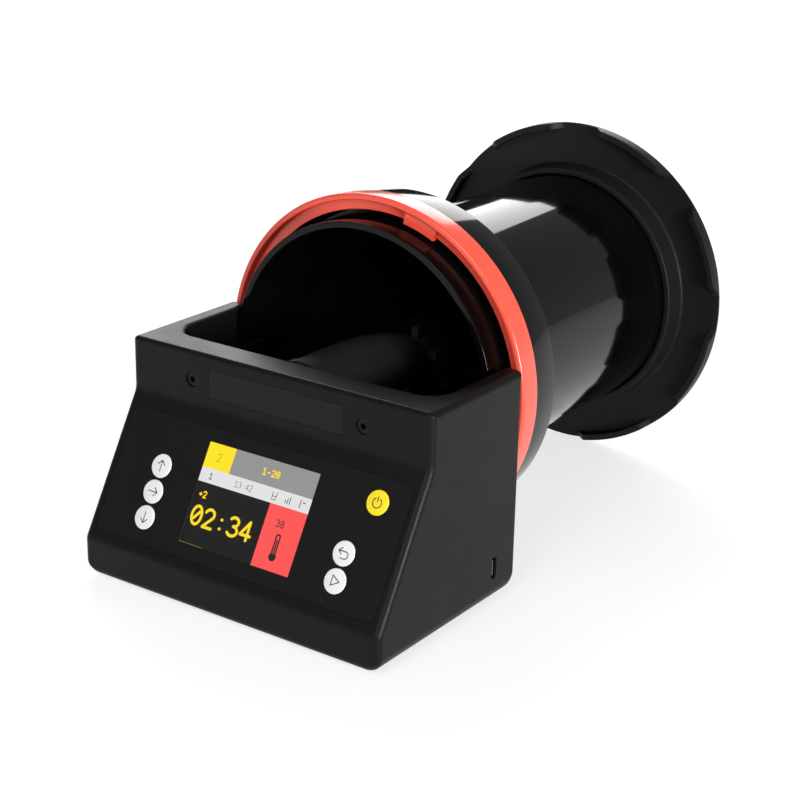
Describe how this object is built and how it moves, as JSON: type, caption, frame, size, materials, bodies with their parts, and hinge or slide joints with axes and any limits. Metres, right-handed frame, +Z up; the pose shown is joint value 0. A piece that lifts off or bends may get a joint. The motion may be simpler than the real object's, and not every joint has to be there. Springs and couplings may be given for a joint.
{
  "type": "automatic film processor",
  "caption": "Table-top film processor: a drive head with sloped controls and a pouring recess turns the reels of a lidded developing tank lying behind it.",
  "frame": {"origin": "on the table, below the middle of the bounding box", "axes": "+X to the right of someone at the control panel, +Y along the tank's axis from the panel to the cap, +Z up"},
  "size_m": [0.1328, 0.2222, 0.1328],
  "materials": {
    "black_moulding": "fine-grained matte",
    "overlay_film": "smooth matte",
    "screen_plastic": "polished",
    "button_white": "smooth matte",
    "button_yellow": "smooth matte",
    "dark_plastic": "moulded",
    "black_screw": "blackened",
    "steel": "turned",
    "bronze": "turned",
    "black_rubber": "matte",
    "green_board": "lacquered",
    "cell_wrap": "shrink wrap",
    "grey_cable": "satin",
    "black_gloss": "polished",
    "red_gloss": "polished",
    "black_satin": "satin",
    "reel_white": "smooth"
  },
  "bodies": {
    "head": {"housing": "black_moulding", "bottom_cover": "black_moulding", "control_panel": "overlay_film", "screen_window": "screen_plastic", "display": "screen_plastic", "name_plate": "overlay_film", "key_switches": "dark_plastic", "panel_board": "green_board", "board_screws": "steel", "front_screws": "black_screw", "motor_housing": "black_moulding", "motor_gasket": "black_rubber", "motor": "steel", "gearbox": "steel", "spindle_bush": "bronze", "shaft_seal": "black_rubber", "coupler": "black_moulding", "coupler_gasket": "black_rubber", "coupler_screws": "steel", "battery_cells": "cell_wrap", "power_board": "green_board", "usb_socket": "steel", "ribbon_cable": "grey_cable", "temperature_probe": "steel", "probe_nut": "steel", "rubber_feet": "black_rubber", "cover_screws": "steel"},
    "button_up": {"button_up": "button_white"},
    "button_right": {"button_right": "button_white"},
    "button_down": {"button_down": "button_white"},
    "button_power": {"button_power": "button_yellow"},
    "button_back": {"button_back": "button_white"},
    "button_start": {"button_start": "button_white"},
    "spindle": {"spindle": "steel", "drive_dog": "dark_plastic"},
    "tank": {"tank_body": "black_gloss", "funnel": "black_gloss", "tank_seal": "black_rubber"},
    "lock_ring": {"lock_ring": "red_gloss"},
    "cap": {"rear_cap": "black_satin"},
    "column": {"centre_column": "black_satin", "column_clip": "black_satin", "reel_a_core": "reel_white", "reel_b_core": "reel_white"},
    "reel_a_half": {"reel_a_half": "reel_white"},
    "reel_b_half": {"reel_b_half": "reel_white"}
  },
  "joints": [
    {"name": "button_up_press", "type": "slide", "parent": "head", "child": "button_up", "axis": [0, 0.8689, -0.495], "range_m": [0, 0.0008], "stiffness_N_per_m": 1500, "springref_m": -0.0002},
    {"name": "button_right_press", "type": "slide", "parent": "head", "child": "button_right", "axis": [0, 0.8689, -0.495], "range_m": [0, 0.0008], "stiffness_N_per_m": 1500, "springref_m": -0.0002},
    {"name": "button_down_press", "type": "slide", "parent": "head", "child": "button_down", "axis": [0, 0.8689, -0.495], "range_m": [0, 0.0008], "stiffness_N_per_m": 1500, "springref_m": -0.0002},
    {"name": "button_power_press", "type": "slide", "parent": "head", "child": "button_power", "axis": [0, 0.8689, -0.495], "range_m": [0, 0.0008], "stiffness_N_per_m": 1500, "springref_m": -0.0002},
    {"name": "button_back_press", "type": "slide", "parent": "head", "child": "button_back", "axis": [0, 0.8689, -0.495], "range_m": [0, 0.0008], "stiffness_N_per_m": 1500, "springref_m": -0.0002},
    {"name": "button_start_press", "type": "slide", "parent": "head", "child": "button_start", "axis": [0, 0.8689, -0.495], "range_m": [0, 0.0008], "stiffness_N_per_m": 1500, "springref_m": -0.0002},
    {"name": "tank_pull", "type": "slide", "parent": "head", "child": "tank", "axis": [0, 1, 0], "range_m": [0, 0.06]},
    {"name": "cap_pull", "type": "slide", "parent": "tank", "child": "cap", "axis": [0, 1, 0], "range_m": [0, 0.03]},
    {"name": "ring_twist", "type": "hinge", "parent": "tank", "child": "lock_ring", "pos_m": [0, -0.02515, 0.0664], "axis": [0, 1, 0], "range_deg": [0, 25]},
    {"name": "column_spin", "type": "hinge", "parent": "tank", "child": "column", "pos_m": [0, 0.04885, 0.0664], "axis": [0, 1, 0], "continuous": true},
    {"name": "spindle_spin", "type": "hinge", "parent": "head", "child": "spindle", "pos_m": [0, -0.01115, 0.0664], "axis": [0, 1, 0], "continuous": true},
    {"name": "reel_a_twist", "type": "hinge", "parent": "column", "child": "reel_a_half", "pos_m": [0, 0.04585, 0.0664], "axis": [0, 1, 0], "range_deg": [-20, 20]},
    {"name": "reel_b_twist", "type": "hinge", "parent": "column", "child": "reel_b_half", "pos_m": [0, 0.08385, 0.0664], "axis": [0, 1, 0], "range_deg": [-20, 20]}
  ],
  "couplings": [
    {"joint": "spindle_spin", "follows": "column_spin", "ratio": 1}
  ]
}
